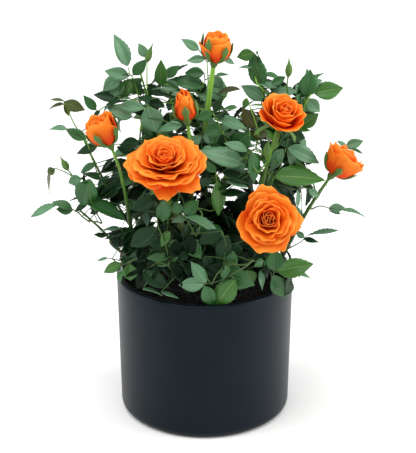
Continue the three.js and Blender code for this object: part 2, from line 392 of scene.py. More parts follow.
def tube(path, radii, sides):
    """A closed round tube along path: points and faces. radii may be one per ring and side."""
    path = np.asarray(path, float)
    radii = np.broadcast_to(np.asarray(radii, float).reshape(len(path), -1), (len(path), sides))
    along = ways(path)
    across = unit(np.cross(along, [0.31, 0.87, 0.12]))
    up = np.cross(along, across)
    turn = np.linspace(0, 2 * math.pi, sides, endpoint=False)
    rings = path[:, None] + radii[..., None] * (
        across[:, None] * np.cos(turn)[:, None] + up[:, None] * np.sin(turn)[:, None]
    )
    points = np.vstack((rings.reshape(-1, 3), path[:1], path[-1:]))
    faces = []
    for i in range(len(path) - 1):
        for j in range(sides):
            k = (j + 1) % sides
            faces.append((i * sides + j, i * sides + k, (i + 1) * sides + k, (i + 1) * sides + j))
    last = (len(path) - 1) * sides
    for j in range(sides):
        k = (j + 1) % sides
        faces.append((len(points) - 2, k, j))
        faces.append((len(points) - 1, last + j, last + k))
    return points, faces


class Heap:
    """Meshes of one kind, gathered to be joined into one piece."""

    def __init__(self):
        self.points, self.faces, self.finish, self.uv, self.count = [], [], [], [], 0

    def put(self, points, faces, finish=0, uv=None):
        """Adds a mesh, with its faces' material and its points' places on the blade."""
        self.points.append(points)
        self.faces += [tuple(a + self.count for a in f) for f in faces]
        self.finish.append(np.broadcast_to(finish, len(faces)))
        self.uv.append(np.zeros((len(points), 2)) if uv is None else uv)
        self.count += len(points)

    def piece(self, name, materials, slot, *nodes):
        """Makes the joined piece, which rides on the one body and stands for the nodes."""
        finish, uv = np.concatenate(self.finish), np.vstack(self.uv)
        made = new_piece(name, np.vstack(self.points), self.faces, materials, finish, uv)
        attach(made, "root")
        if nodes:
            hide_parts(*nodes)


def prickle(base, out, down, size):
    """A hooked cone whose foot is drawn out along the cane."""
    curve = [base + size * (out * t - down * 0.45 * t * t) for t in np.linspace(-0.15, 1, 6)]
    return tube(curve, size * np.array([0.42, 0.34, 0.22, 0.13, 0.07, 0.01]), 6)


# Bark: fresh green near the roses, darker and browner towards the foot, finely streaked.
BARK, tree = new_material("rose_cane_bark")
place = add(tree, "TexCoord").outputs["Object"]
height = add(tree, "SeparateXYZ", {"Vector": place}).outputs["Z"]
share = add(tree, "MapRange", {"Value": height, "From Min": BARK_LOW, "From Max": BARK_HIGH})
height_tone = add(tree, "ValToRGB", {"Fac": share}, ((0, "#35381e"), (0.4, "#3d661d"), (1, "#7bb231")))
stretched = add(tree, "Mapping", {"Vector": place, "Scale": (1, 1, 0.12)})
streaks = add(tree, "TexNoise", {"Vector": stretched, "Scale": grain(0.8), "Detail": 3})
shade = add(tree, "MapRange", {"Value": streaks, "To Min": 0.62, "To Max": 1.2})
tone = add(tree, "VectorMath", {0: height_tone, "Scale": shade}, operation="SCALE")
ridges = add(tree, "Bump", {"Height": streaks, "Strength": 0.35, "Distance": 0.3 * MM})
bark = add(tree, "BsdfPrincipled", {"Base Color": tone, "Roughness": 0.48, "Normal": ridges})
add(tree, "OutputMaterial", {"Surface": bark})

# A prickle is horn, mottled from red-brown to straw colour.
HORN, tree = new_material("rose_prickle_horn")
place = add(tree, "TexCoord").outputs["Object"]
mottle = add(tree, "TexNoise", {"Vector": place, "Scale": grain(3)})
tone = add(tree, "ValToRGB", {"Fac": mottle}, ((0, "#6d3f22"), (1, "#a5834f")))
horn = add(tree, "BsdfPrincipled", {"Base Color": tone, "Roughness": 0.4})
add(tree, "OutputMaterial", {"Surface": horn})

# How thick some canes are, as a share of the widest foot and head, and all the others.
SLIM = {
    "far_left": 0.55, "left_top": 0.55, "top_left": 0.5, "upper_right": 0.75, "right": 0.8,
    "left": 0.75, "top": 1.25,
}
COMMON_SLIM = 0.9
cane_lines = {}
for node in nodes_called("cane_"):
    line = resampled(centreline(node), CANE_STEPS)
    cane_lines[node.removeprefix("cane_")] = line
    run = runs(line)
    joint = 0.5 + 0.5 * np.cos(2 * math.pi * run / JOINT_SPACING)
    radius = np.linspace(CANE_FOOT, CANE_HEAD, len(line)) * (1 + 0.16 * joint**8)
    radius *= SLIM.get(node.removeprefix("cane_"), COMMON_SLIM)
    side = np.linspace(0, 2 * math.pi, CANE_SIDES, endpoint=False)
    ridged = radius[:, None] * (1 + 0.05 * np.cos(4 * side + 0.3 * run[:, None] / MM))
    cane = Heap()
    cane.put(*tube(line, ridged, CANE_SIDES))
    along = ways(line)
    for i in range(3, len(line) - 3):
        if seeded.uniform() < PRICKLE_CHANCE:
            out = unit(np.cross(along[i], unit(seeded.normal(size=3))))
            size = seeded.uniform(*PRICKLE_SIZES) * MM * (1.1 - 0.5 * i / len(line))
            cane.put(*prickle(line[i] + out * radius[i] * 0.9, out, along[i], size), finish=1)
    cane.piece(f"bark_{node}", [BARK, HORN], "cane", node)

# ---------------------------------------------------------------- the leaves
# Rose leaves: a thin stalk with three, five or seven toothed leaflets, folded a little along
# the rib. They grow on shoots that branch from the canes until each mass of the crown is full.

TEETH = 7
LEAF_THICKNESS = 0.28 * MM
LEAFLET = 25 * MM
COLUMNS = np.array([-1, -0.55, -0.035, 0.035, 0.55, 1])
SHOOT, STALK = 0.75 * MM, 0.42 * MM  # radii
SHOOT_SIDES, STALK_SIDES = 6, 5
STEP = 7 * MM  # between two joints of a shoot
FRAME_WIDE, FRAME_HIGH = 416, 453

# The sprays that stand clear of the rest: how far back each is in mm, its stem, and its
# leaflets. Places are columns and rows of the camera's frame, and a leaflet is its tint, the
# places of its base and tip, and its breadth there. Leaflets of the shade tint are painted
# shade, set where the crown lies in shadow, and those of the blue tint carry a painted sheen.
CLEAR_SPRAYS = {
    "tall_left": (15, [(140, 100), (133, 79), (130, 74), (128, 67)], [
        ("painted_blue_sheen", 128, 66, 117, 35, 14), ("mid", 133, 75, 146, 60, 11), ("painted_blue_sheen", 129, 76, 105, 71, 13),
        ("painted_blue_sheen", 120, 76, 103, 91, 14), ("fresh", 131, 79, 121, 98, 13), ("mid", 133, 79, 141, 96, 10),
        ("painted_blue_sheen", 121, 80, 112, 98, 15), ("deep", 118, 98, 94, 94, 11),
    ]),
    "bud_left": (12, [(148, 100), (147, 83), (147, 62)], [
        ("painted_blue_sheen", 146, 57, 139, 44, 9), ("deep", 147, 85, 163, 96, 10), ("deep", 148, 101, 165, 106, 10),
    ]),
    "collar_left": (26, [(182, 104), (176, 88), (163, 84)], [
        ("fresh", 161, 86, 161, 61, 12), ("mid", 165, 77, 179, 66, 10), ("painted_blue_sheen", 179, 88, 160, 84, 12),
        ("deep", 178, 96, 158, 93, 8),
    ]),
    "collar_right": (30, [(196, 108), (200, 92), (205, 80)], [
        ("mid", 205, 86, 169, 78, 14), ("mid", 204, 73, 185, 73, 12), ("painted_blue_sheen", 209, 99, 193, 86, 9),
        ("painted_blue_sheen", 213, 76, 222, 89, 11), ("deep", 206, 84, 196, 94, 9),
    ]),
    "behind_top": (38, [(208, 84), (207, 62)], [
        ("painted_blue_sheen", 199, 50, 182, 39, 9), ("painted_blue_sheen", 205, 59, 187, 60, 8), ("painted_blue_sheen", 221, 57, 235, 63, 6),
        ("mid", 216, 75, 229, 74, 3),
    ]),
    "top_gap": (30, [(219, 112), (222, 102), (227, 92)], [
        ("bronze", 240, 89, 216, 91, 5), ("painted_blue_sheen", 222, 99, 208, 91, 8),
    ]),
    "top_right": (17, [(262, 106), (263, 96), (262, 87)], [
        ("mid", 262, 87, 252, 53, 17), ("fresh", 254, 53, 237, 57, 12), ("painted_blue_sheen", 252, 67, 239, 66, 3),
        ("painted_blue_sheen", 277, 87, 255, 79, 8), ("painted_blue_sheen", 266, 99, 242, 86, 14),
    ]),
    "right_crest": (14, [(292, 106), (287, 92), (285, 87)], [
        ("mid", 272, 84, 285, 77, 9), ("painted_blue_sheen", 297, 92, 262, 95, 10),
    ]),
    "right_top": (12, [(303, 122), (305, 98)], [
        ("mid", 306, 97, 310, 71, 17), ("painted_blue_sheen", 312, 84, 322, 80, 7), ("fresh", 314, 93, 343, 88, 18),
        ("painted_blue_sheen", 306, 99, 320, 112, 13), ("fresh", 301, 126, 318, 114, 14),
        ("fresh", 297, 129, 310, 130, 5),
    ]),
    "bronze": (2, [(256, 148), (258, 132), (247, 98)], [
        ("bronze", 255, 128, 243, 109, 15), ("bronze", 268, 134, 251, 134, 12),
        ("fresh", 247, 98, 244, 109, 6),
    ]),
    "centre_right": (-4, [(246, 156), (250, 132)], [
        ("painted_blue_sheen", 219, 118, 247, 128, 12), ("mid", 249, 133, 230, 151, 20),
    ]),
    "right_shoulder": (-12, [(276, 178), (286, 149)], [
        ("deep", 289, 134, 305, 138, 13), ("painted_blue_sheen", 288, 148, 321, 161, 15),
        ("painted_blue_sheen", 288, 150, 296, 171, 8), ("painted_blue_sheen", 283, 149, 270, 171, 11),
    ]),
    "right_big": (-22, [(266, 200), (274, 177)], [
        ("fresh", 275, 176, 325, 176, 20), ("deep", 273, 180, 298, 205, 13),
        ("painted_blue_sheen", 297, 190, 299, 207, 5), ("painted_blue_sheen", 309, 189, 319, 197, 7),
    ]),
    "behind_right_rose": (16, [(318, 197), (334, 168), (346, 147)], [
        ("painted_blue_sheen", 346, 146, 363, 141, 10), ("painted_blue_sheen", 348, 148, 338, 140, 4), ("mid", 350, 149, 363, 152, 3),
    ]),
    "far_right": (2, [(312, 209), (320, 206), (329, 208)], [
        ("painted_blue_sheen", 329, 208, 345, 208, 9), ("painted_blue_sheen", 343, 210, 367, 214, 3), ("mid", 330, 211, 341, 213, 4),
    ]),
    "far_right_low": (0, [(283, 251), (299, 243), (304, 239)], [
        ("painted_blue_sheen", 306, 236, 337, 228, 5), ("deep", 304, 239, 319, 241, 5), ("painted_blue_sheen", 304, 238, 296, 231, 6),
    ]),
    "right_rim": (-48, [(262, 250), (268, 262), (274, 272)], [
        ("fresh", 277, 271, 313, 264, 19), ("painted_blue_sheen", 296, 272, 312, 278, 4),
        ("mid", 274, 271, 275, 250, 17), ("mid", 273, 275, 285, 299, 15), ("painted_blue_sheen", 260, 271, 264, 290, 6),
        ("fresh", 246, 270, 253, 284, 14),
    ]),
    "front": (-66, [(243, 268), (218, 281), (205, 284)], [
        ("painted_blue_sheen", 206, 283, 192, 263, 12), ("painted_blue_sheen", 204, 284, 179, 285, 14),
        ("mid", 204, 286, 213, 307, 13), ("fresh", 235, 280, 213, 308, 20),
    ]),
    "left_rim": (-38, [(140, 258), (127, 262)], [
        ("fresh", 121, 263, 103, 273, 10), ("fresh", 130, 264, 130, 281, 14),
        ("shade", 144, 262, 121, 277, 12), ("shade", 150, 268, 134, 291, 12),
        ("deep", 131, 264, 122, 256, 8), ("painted_blue_sheen", 108, 258, 97, 260, 3),
    ]),
    "low_left": (-8, [(144, 238), (126, 236)], [
        ("deep", 127, 243, 111, 243, 8), ("deep", 134, 230, 104, 236, 7), ("painted_blue_sheen", 120, 228, 97, 230, 3),
        ("deep", 106, 236, 94, 234, 5),
    ]),
    "far_left": (-2, [(90, 222), (84, 218), (74, 210), (58, 206)], [
        ("painted_blue_sheen", 57, 205, 30, 215, 8), ("mid", 72, 208, 53, 200, 8), ("mid", 73, 210, 56, 209, 10),
        ("deep", 88, 203, 74, 211, 6),
    ]),
    "left": (-8, [(102, 223), (96, 212), (91, 200), (90, 180)], [
        ("mid", 90, 179, 82, 209, 21), ("mid", 86, 203, 128, 216, 14), ("deep", 99, 209, 90, 214, 6),
    ]),
    "left_mid": (8, [(106, 186), (98, 174), (94, 164)], [
        ("mid", 96, 164, 80, 172, 7), ("mid", 101, 179, 83, 172, 6), ("painted_blue_sheen", 81, 178, 68, 183, 11),
        ("painted_blue_sheen", 118, 169, 100, 172, 5), ("deep", 114, 158, 100, 171, 5), ("deep", 132, 152, 117, 147, 9),
        ("deep", 120, 178, 97, 199, 18), ("shade", 121, 186, 112, 209, 13),
    ]),
    "drop": (10, [(78, 180), (67, 173), (55, 168)], [
        ("olive", 55, 169, 47, 173, 8), ("olive", 50, 172, 46, 194, 3),
    ]),
    "left_top": (6, [(86, 142), (76, 127), (70, 115), (64, 103)], [
        ("olive", 64, 102, 85, 110, 12), ("olive", 64, 104, 70, 116, 6), ("olive", 64, 101, 51, 98, 3),
        ("olive", 64, 104, 48, 107, 3),
    ]),
    "left_side": (0, [(92, 156), (86, 140)], [
        ("mid", 86, 139, 66, 129, 11), ("painted_blue_sheen", 67, 129, 49, 127, 5), ("deep", 97, 147, 76, 152, 9),
    ]),
    "left_arc": (14, [(124, 104), (107, 106), (98, 111)], [
        ("mid", 96, 110, 84, 96, 9), ("deep", 100, 111, 92, 117, 4),
    ]),
    "heart": (-24, [(258, 172), (250, 162), (246, 156)], [
        ("painted_blue_sheen", 243, 163, 200, 147, 18), ("painted_blue_sheen", 247, 151, 226, 141, 9), ("mid", 252, 152, 257, 184, 12),
        ("deep", 222, 172, 251, 181, 9), ("deep", 221, 194, 246, 190, 8), ("deep", 217, 190, 233, 181, 7),
    ]),
    "heart_low": (-26, [(214, 210), (217, 190), (216, 172)], [
        ("fresh", 217, 181, 220, 216, 14), ("deep", 213, 181, 189, 184, 9),
        ("painted_blue_sheen", 226, 181, 248, 186, 7), ("mid", 216, 172, 203, 160, 9),
    ]),
    "heart_top": (-6, [(226, 140), (221, 128), (213, 113)], [
        ("mid", 223, 128, 204, 133, 14), ("deep", 222, 134, 226, 151, 10), ("mid", 212, 113, 197, 119, 11),
        ("mid", 220, 124, 210, 147, 10), ("deep", 214, 112, 221, 99, 8), ("mid", 237, 107, 221, 108, 4),
        ("deep", 225, 117, 212, 113, 6),
    ]),
    "low_long": (-52, [(196, 236), (192, 228), (186, 219)], [
        ("painted_blue_sheen", 185, 217, 220, 229, 9), ("painted_blue_sheen", 187, 218, 171, 221, 6), ("mid", 184, 214, 198, 201, 13),
        ("mid", 178, 214, 176, 202, 11),
    ]),
    "low_rose": (-50, [(168, 256), (164, 240), (158, 226), (157, 212)], [
        ("mid", 164, 200, 163, 224, 13), ("deep", 155, 201, 130, 209, 13), ("deep", 147, 211, 145, 228, 7),
        ("deep", 155, 229, 130, 247, 17), ("fresh", 170, 231, 160, 247, 8), ("mid", 171, 257, 147, 257, 9),
        ("shade", 176, 240, 178, 256, 12),
    ]),
    "low_middle": (-56, [(224, 262), (226, 246), (222, 231)], [
        ("deep", 221, 231, 198, 243, 14), ("deep", 228, 236, 218, 262, 14),
        ("deep", 204, 256, 217, 280, 12), ("mid", 234, 252, 226, 276, 13),
        ("shade", 190, 234, 190, 259, 12),
    ]),
    "low_front": (-60, [(176, 276), (168, 266), (158, 262)], [
        ("deep", 143, 271, 169, 288, 15), ("shade", 156, 262, 146, 283, 12),
        ("painted_blue_sheen", 143, 289, 163, 292, 3), ("painted_blue_sheen", 161, 292, 179, 296, 4),
        ("shade", 170, 262, 186, 280, 11),
    ]),
    "upper_left": (-8, [(140, 130), (145, 108)], [
        ("painted_blue_sheen", 132, 117, 107, 107, 14), ("painted_blue_sheen", 120, 105, 145, 108, 12),
        ("painted_blue_sheen", 147, 107, 157, 133, 21), ("painted_blue_sheen", 182, 125, 158, 130, 9),
        ("deep", 139, 142, 120, 145, 12),
    ]),
}
# Masses that those sprays stand for.
CLEAR_MASSES = {
    "top_left", "collar_top", "behind_right_rose", "far_right", "far_right_low", "far_left",
    "left_drop", "top_gap", "left_top",
}

# Open places where the light shows through the crown, and how far the leaves keep off them:
# column, row and radius in the camera's frame.
OPENINGS = [
    (131, 82, 4), (142, 88, 4), (134, 97, 4), (152, 73, 6), (162, 98, 3), (167, 103, 4), (166, 110, 3),
    (171, 94, 3), (134, 129, 10), (104, 108, 4), (147, 103, 3), (182, 135, 3), (195, 125, 5), (200, 94, 4),
    (212, 108, 5), (216, 118, 4), (232, 100, 9), (240, 80, 12), (266, 88, 3), (310, 128, 5), (247, 105, 4),
    (246, 158, 4), (258, 150, 5), (246, 168, 3), (284, 168, 6), (247, 187, 4), (233, 201, 4),
    (302, 196, 5), (118, 146, 4), (106, 152, 9), (111, 164, 5), (92, 171, 2), (108, 176, 4), (116, 205, 3),
    (97, 205, 3), (113, 215, 8), (128, 225, 4), (121, 222, 5), (137, 221, 4), (152, 221, 3), (174, 226, 3),
    (194, 197, 4), (127, 239, 3), (121, 248, 4), (104, 231, 4), (83, 137, 4), (82, 162, 6), (124, 131, 8),
    (130, 122, 5), (80, 143, 5), (92, 236, 9), (77, 196, 5), (101, 218, 5), (103, 250, 8), (112, 248, 6),
    (297, 256, 6), (304, 205, 5), (301, 214, 4), (311, 143, 6), (313, 167, 5), (281, 166, 8),
    (330, 105, 8), (327, 112, 7), (337, 99, 4), (318, 138, 7), (324, 77, 6), (278, 66, 6), (266, 56, 5),
    (292, 84, 5), (300, 77, 4), (232, 112, 6),
]
# How much of each flowering cane, in mm below its rose, nothing hides.
CLEAR_CANES = {"top": 42, "centre_bud": 16, "upper_right": 58, "left": 62, "right": 58, "far_left": 20}

# How many leaves and side shoots each square metre of a mass's surface gets, and how often a
# place is tried for each.
LEAVES_PER_AREA, SHOOTS_PER_AREA = 2500, 2200
LEAF_TRIES, TIP_TRIES = 20, 8
SHORTEST_SHOOT, LONGEST_SHOOT = 15 * MM, 90 * MM
CROWDING = 0.26  # of a leaflet's length
LEAF_SLACK = 3.5 * MM  # how far a leaflet may stand out of its mass
ROSE_GAP = 1.5 * MM  # that shoots and leaves keep from a rose
SIGHT_REACH = 0.2  # how far behind a point something can be hidden by it

# Leaf tints: blade, underside and rib, how much light comes through, and how it shines.
TINTS = {
    "deep": ("#103215", "#28452a", 0.05, 0.2),
    # This tint is painted shade: a near-black green with hardly any shine, for leaves where the crown's
    # shadow falls.
    "shade": ("#061c09", "#112716", 0.03, 0.08),
    "mid": ("#2b602b", "#4d7549", 0.1, 0.45),
    # This tint is a painted sheen: a paler bluish green that stands in for the bluish highlight of glossy
    # leaflets that face the light.
    "painted_blue_sheen": ("#53805a", "#7ca07e", 0.08, 0.5),
    "fresh": ("#3e7229", "#76984c", 0.2, 0.45),
    "olive": ("#4a5a2e", "#6a7546", 0.12, 0.3),
    "bronze": ("#3c401a", "#5d5c3a", 0.08, 0.3),
}
# The share of leaves that each tint gets, in the light and in the shade low down. The low
# shares are painted shade: mostly the near-black shade tint.
TINT_SHARES = dict(zip(TINTS, (0.34, 0.06, 0.35, 0.14, 0.1, 0.005, 0.005)))
LOW_SHARES = dict(zip(TINTS, (0.3, 0.58, 0.09, 0.01, 0.01, 0, 0.01)))
LIGHT_FROM, LIGHT_TO = 155 * MM, 200 * MM  # heights


def leaf_material(name, code, glow, shine, roughness):
    """A living leaf: a waxy surface over green flesh that lets a little light through."""
    material, tree = new_material(name)
    place = add(tree, "TexCoord").outputs["Object"]
    blotch = add(tree, "TexNoise", {"Vector": place, "Scale": grain(9), "Detail": 4})
    shade = add(tree, "MapRange", {"Value": blotch, "To Min": 0.7, "To Max": 1.25})
    blade = add(tree, "UVMap", uv_map="blade")
    slant = add(tree, "Mapping", {"Vector": blade, "Scale": (1, 2.4, 1), "Rotation": (0, 0, -0.9)})
    veins = add(tree, "TexWave", {"Vector": slant, "Scale": 1.6, "Distortion": 0.6})
    lift = add(tree, "MapRange", {"Value": veins.outputs["Fac"], "To Min": 0.93, "To Max": 1.1})
    both = add(tree, "Math", {0: shade, 1: lift}, operation="MULTIPLY")
    tone = add(tree, "VectorMath", {0: colour(code)[:3], "Scale": both}, operation="SCALE")
    pleats = add(tree, "Bump", {"Height": veins.outputs["Fac"], "Strength": 0.2, "Distance": 0.3 * MM})
    look = {"Base Color": tone, "Roughness": roughness, "Specular IOR Level": shine, "Normal": pleats}
    skin = add(tree, "BsdfPrincipled", look)
    flesh = add(tree, "BsdfTranslucent", {"Color": tone})
    leaf = add(tree, "MixShader", {0: glow, 1: skin, 2: flesh})
    add(tree, "OutputMaterial", {"Surface": leaf})
    return material


def shell_faces(rows, columns):
    """Faces of a shell, and the kind of each: 0 above, 1 below, 2 round the edge."""
    n = rows * columns
    upper = [
        (i * columns + j, i * columns + j + 1, (i + 1) * columns + j + 1, (i + 1) * columns + j)
        for i in range(rows - 1)
        for j in range(columns - 1)
    ]
    lower = [tuple(a + n for a in reversed(f)) for f in upper]
    rim = (
        list(range(columns))
        + [i * columns + columns - 1 for i in range(1, rows)]
        + [(rows - 1) * columns + j for j in range(columns - 2, -1, -1)]
        + [i * columns for i in range(rows - 2, 0, -1)]
    )
    edge = [(b, a, a + n, b + n) for a, b in zip(rim, rim[1:] + rim[:1])]
    return upper + lower + edge, np.repeat([0, 1, 2], [len(upper), len(lower), len(edge)])


def shell(grid, thickness):
    """The points of a closed thin solid whose upper side is a grid, with rows along the blade."""
    normal = unit(np.cross(np.gradient(grid, axis=1), np.gradient(grid, axis=0)) + 1e-12)
    return np.vstack((grid.reshape(-1, 3), (grid - normal * thickness).reshape(-1, 3)))


def leaflet_outline():
    """Rows along a leaflet of length 1: place along it and half width, out and in at each tooth."""
    rows = [(0.0, 0.05)]
    for k in range(TEETH):
        for step, reach in ((0.15, 0.97), (0.8, 1.03)):
            t = (k + step) / TEETH * 0.97
            rows.append((t, reach * 2.95 * t**0.6 * (1 - t) ** 1.05))
    return np.array(rows + [(1.0, 0.012)])


LEAFLET_ROWS = leaflet_outline()
LEAFLET_FACES, leaflet_kinds = shell_faces(len(LEAFLET_ROWS), len(COLUMNS))
# The rib's strip, between the two middle columns, is finished like the underside.
LEAFLET_FINISH = np.minimum(leaflet_kinds, 1)
LEAFLET_FINISH[2 : (len(LEAFLET_ROWS) - 1) * (len(COLUMNS) - 1) : len(COLUMNS) - 1] = 1
leaflet_uv = np.stack(np.broadcast_arrays(np.abs(COLUMNS)[None], LEAFLET_ROWS[:, :1]), -1).reshape(-1, 2)
LEAFLET_UV = np.vstack((leaflet_uv, leaflet_uv))


def leaflet(length, breadth, fold, bend, twist):
    """Points of one leaflet's shell: base at the origin, tip along +Y, upper side +Z."""
    t = LEAFLET_ROWS[:, :1]
    x = LEAFLET_ROWS[:, 1:] * breadth * COLUMNS
    y = t + 0.3 * np.abs(x) * (1 - t)
    tooth = np.where(np.arange(len(t)) % 2, -1, 1)[:, None]
    z = fold * np.abs(x) + 0.008 * tooth * np.abs(COLUMNS) * (t > 0) * (t < 1)
    turn = twist * (y - 0.5)
    x, z = x * np.cos(turn) - z * np.sin(turn), x * np.sin(turn) + z * np.cos(turn)
    droop = bend * y
    y, z = np.sin(droop) / bend + z * np.sin(droop), (np.cos(droop) - 1) / bend + z * np.cos(droop)
    return shell(np.stack((x, y, z), -1) * length, LEAF_THICKNESS)


def facing(along, above):
    """Rows across, along and above of a leaflet's own axes, from a direction and a rough up."""
    along = unit(along)
    across = unit(np.cross(along, above))
    return np.array((across, along, np.cross(across, along)))


crown_nodes = nodes_called("leaves_")
full_nodes = [name for name in crown_nodes if name.removeprefix("leaves_") not in CLEAR_MASSES]
rose_nodes = nodes_called("rose_")


def faces_of(nodes):
    """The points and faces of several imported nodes."""
    points, faces = [], []
    for node in nodes:
        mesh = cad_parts[node].data
        first = len(points)
        points += [v.co.copy() for v in mesh.vertices]
        faces += [[a + first for a in p.vertices] for p in mesh.polygons]
    return points, faces


crown_tree = BVHTree.FromPolygons(*faces_of(full_nodes))
rose_tree = BVHTree.FromPolygons(*faces_of(rose_nodes))
eye = np.array(camera.location)
sight = np.array(camera.rotation_euler.to_matrix())  # columns right, up and back of the view
FOCAL = LENS / SENSOR * FRAME_HIGH


def seen_at(u, v, y):
    """The point at depth y that lines up with column u and row v of the frame."""
    way = sight @ [(u - FRAME_WIDE / 2) / FOCAL, (FRAME_HIGH / 2 - v) / FOCAL, -1]
    return eye + way * (y - eye[1]) / way[1]


def seen_from(point):
    """The column and row of the frame that a point shows at."""
    right, up, back = (np.asarray(point) - eye) @ sight
    return FRAME_WIDE / 2 - FOCAL * right / back, FRAME_HIGH / 2 + FOCAL * up / back


def beyond(tree, point):
    """How far point lies outside the solids of a tree; less than 0 is inside."""
    near, normal, _, distance = tree.find_nearest(Vector(point))
    return -distance if (Vector(point) - near).dot(normal) < 0 else distance


# What nothing may hide: the roses, their canes just below them, and the clear leaflets.
shown_points, shown_faces = faces_of(rose_nodes)


def keep_shown(corners):
    """Keeps a four-cornered patch in view."""
    shown_faces.append([len(shown_points) + k for k in range(4)])
    shown_points.extend(Vector(c) for c in corners)


# Leaves of each tint, with those of the commonest tints that grow behind kept apart.
leaf_heaps = {tint: Heap() for tint in TINTS}
back_heaps = {tint: Heap() for tint in ("deep", "mid")}
stalk_heap, shoot_heap = Heap(), Heap()
BEHIND = 10 * MM
# The middles of the leaflets so far. Rows that aren't filled yet lie far away.
leaflet_places = np.full((2000, 3), 9.0)
next_place = iter(leaflet_places)


def put_leaflet(base, way, above, length, breadth, bend, tint, rng):
    """Adds a leaflet to the heap of its tint. breadth is half its width as a share of length."""
    points = leaflet(length, breadth, rng.uniform(0.1, 0.45), bend, rng.uniform(-0.7, 0.7))
    heap = back_heaps[tint] if tint in back_heaps and base[1] > BEHIND else leaf_heaps[tint]
    heap.put(points @ facing(way, above) + base, LEAFLET_FACES, LEAFLET_FINISH, LEAFLET_UV)
    next(next_place)[:] = base + unit(way) * length * 0.5


def bezier(a, b, c, steps):
    """Points of a quadratic curve from a to c that starts towards b."""
    t = np.linspace(0, 1, steps + 1)[:, None]
    return (1 - t) ** 2 * np.asarray(a) + 2 * t * (1 - t) * np.asarray(b) + t**2 * np.asarray(c)


# The joints that shoots and leaves may grow from start as those of the canes. A joint's home is
# its seeded shoot and its place there, or None.
joints, joint_ways, joint_homes = [], [], []
for name, line in cane_lines.items():
    along = ways(line)
    bare = 20 * MM if f"rose_{name}" in rose_nodes else 0
    for spot, way in zip(line[::3], along[::3]):
        if spot[2] > SOIL_LEVEL + 10 * MM and np.linalg.norm(spot - line[-1]) >= bare:
            joints.append(spot)
            joint_ways.append(way)
            joint_homes.append(None)
    clear = CLEAR_CANES.get(name, 0) * MM
    shown = [p for p in line if np.linalg.norm(p - line[-1]) < clear]
    for a, b in zip(shown, shown[1:]):
        side = np.array((3 * MM, 0, 0))
        keep_shown((a - side, a + side, b + side, b - side))


def nearest_joint(target):
    """The joint that grows to target most readily: near, and rather below it."""
    gap = np.array(joints) - target
    cost = np.linalg.norm(gap, axis=1) + 0.5 * np.maximum(gap[:, 2], 0)
    return int(np.argmin(cost))


# Each seeded shoot: its path, the joint that it grows from, and how far along it bears leaves.
shoots = []


def grow_shoot(path, joint):
    """Adds a shoot that grows from a joint along path, and its own joints."""
    joints.extend(path[1:])
    joint_ways.extend(ways(path)[1:])
    joint_homes.extend((len(shoots), k) for k in range(1, len(path)))
    shoots.append([path, joint, 0])


def bear_at(joint):
    """Notes that a leaf grows at joint, so that all which carries it is kept."""
    while joint_homes[joint] is not None:
        shoot, place = joint_homes[joint]
        shoots[shoot][2] = max(shoots[shoot][2], place)
        joint = shoots[shoot][1]


FORKS = slice(4, 12, 3)  # which points of a clear stem others may grow from
NATURAL_BREADTH = 0.47  # of a leaflet's length
seeded = np.random.default_rng(17)
for depth, stem, leaflets in CLEAR_SPRAYS.values():
    stem = [seen_at(u, v, depth * MM) for u, v in stem]
    i = nearest_joint(stem[0])
    start = joints[i]
    link = bezier(start, start + joint_ways[i] * np.linalg.norm(stem[0] - start) * 0.4, stem[0], 6)
    line = resampled(np.vstack((link[:-1], stem)), 30)
    shoot_heap.put(*tube(line, np.linspace(SHOOT, STALK, len(line)), SHOOT_SIDES))
    joints.extend(line[FORKS])
    joint_ways.extend(ways(line)[FORKS])
    joint_homes.extend([None] * len(line[FORKS]))
    for tint, base_u, base_v, tip_u, tip_v, seen_breadth in leaflets:
        base = seen_at(base_u, base_v, depth * MM)
        tip = seen_at(tip_u, tip_v, depth * MM)
        way = tip - base
        length = np.linalg.norm(way)
        to_eye = unit(eye - base)
        broad = seen_breadth * length / math.hypot(tip_u - base_u, tip_v - base_v)
        true_broad = max(broad, NATURAL_BREADTH * length)
        tilt = math.acos(min(1, broad / true_broad))
        side = unit(np.cross(way, to_eye))
        side = side if side[2] > 0 else -side
        above = to_eye * math.cos(tilt) + side * math.sin(tilt)
        bend = seeded.uniform(0.1, 0.4)
        put_leaflet(base, way, above, length * 1.03, true_broad / length / 2, bend, tint, seeded)
        across = side * broad / 2
        keep_shown((base, (base + tip) / 2 + across, tip, (base + tip) / 2 - across))
        foot = line[np.argmin(np.linalg.norm(line - base, axis=1))]
        if np.linalg.norm(foot - base) > 1 * MM:
            stalk_heap.put(*tube(np.linspace(foot, base, 3), [STALK] * 3, STALK_SIDES))

shown_tree = BVHTree.FromPolygons(shown_points, shown_faces)


def hides(point):
    """Whether point would hide something that is to be seen."""
    away = unit(np.asarray(point) - eye)
    return shown_tree.ray_cast(Vector(point), Vector(away), SIGHT_REACH)[0] is not None


def in_opening(point):
    """Whether point would close one of the openings."""
    u, v = seen_from(point)
    return any(math.hypot(u - a, v - b) < r for a, b, r in OPENINGS)


def in_pot(point):
    """Whether point is in the compost or the pot's wall."""
    reach = math.hypot(point[0], point[1])
    wall = RIM - WALL - 2 * MM < reach < RIM + MM
    return point[2] < POT_HEIGHT + 2 * MM and (point[2] < SOIL_LEVEL + 2 * MM or wall)


def clear_of_all(point):
    """Whether a shoot or leaf may pass through point."""
    near_rose = beyond(rose_tree, point) < ROSE_GAP
    return not (in_pot(point) or in_opening(point) or near_rose or hides(point))


def has_room(base, way, above, length):
    """Whether a leaflet there stays in the crown and clear of all else."""
    way = unit(way)
    middle, tip = base + way * length * 0.5, base + way * length
    if np.linalg.norm(leaflet_places - middle, axis=1).min() < CROWDING * length:
        return False
    if beyond(crown_tree, middle) > LEAF_SLACK or beyond(crown_tree, tip) > LEAF_SLACK + 2 * MM:
        return False
    across = unit(np.cross(way, above)) * length * 0.28
    return all(clear_of_all(p) for p in (middle, tip, middle + across, middle - across))


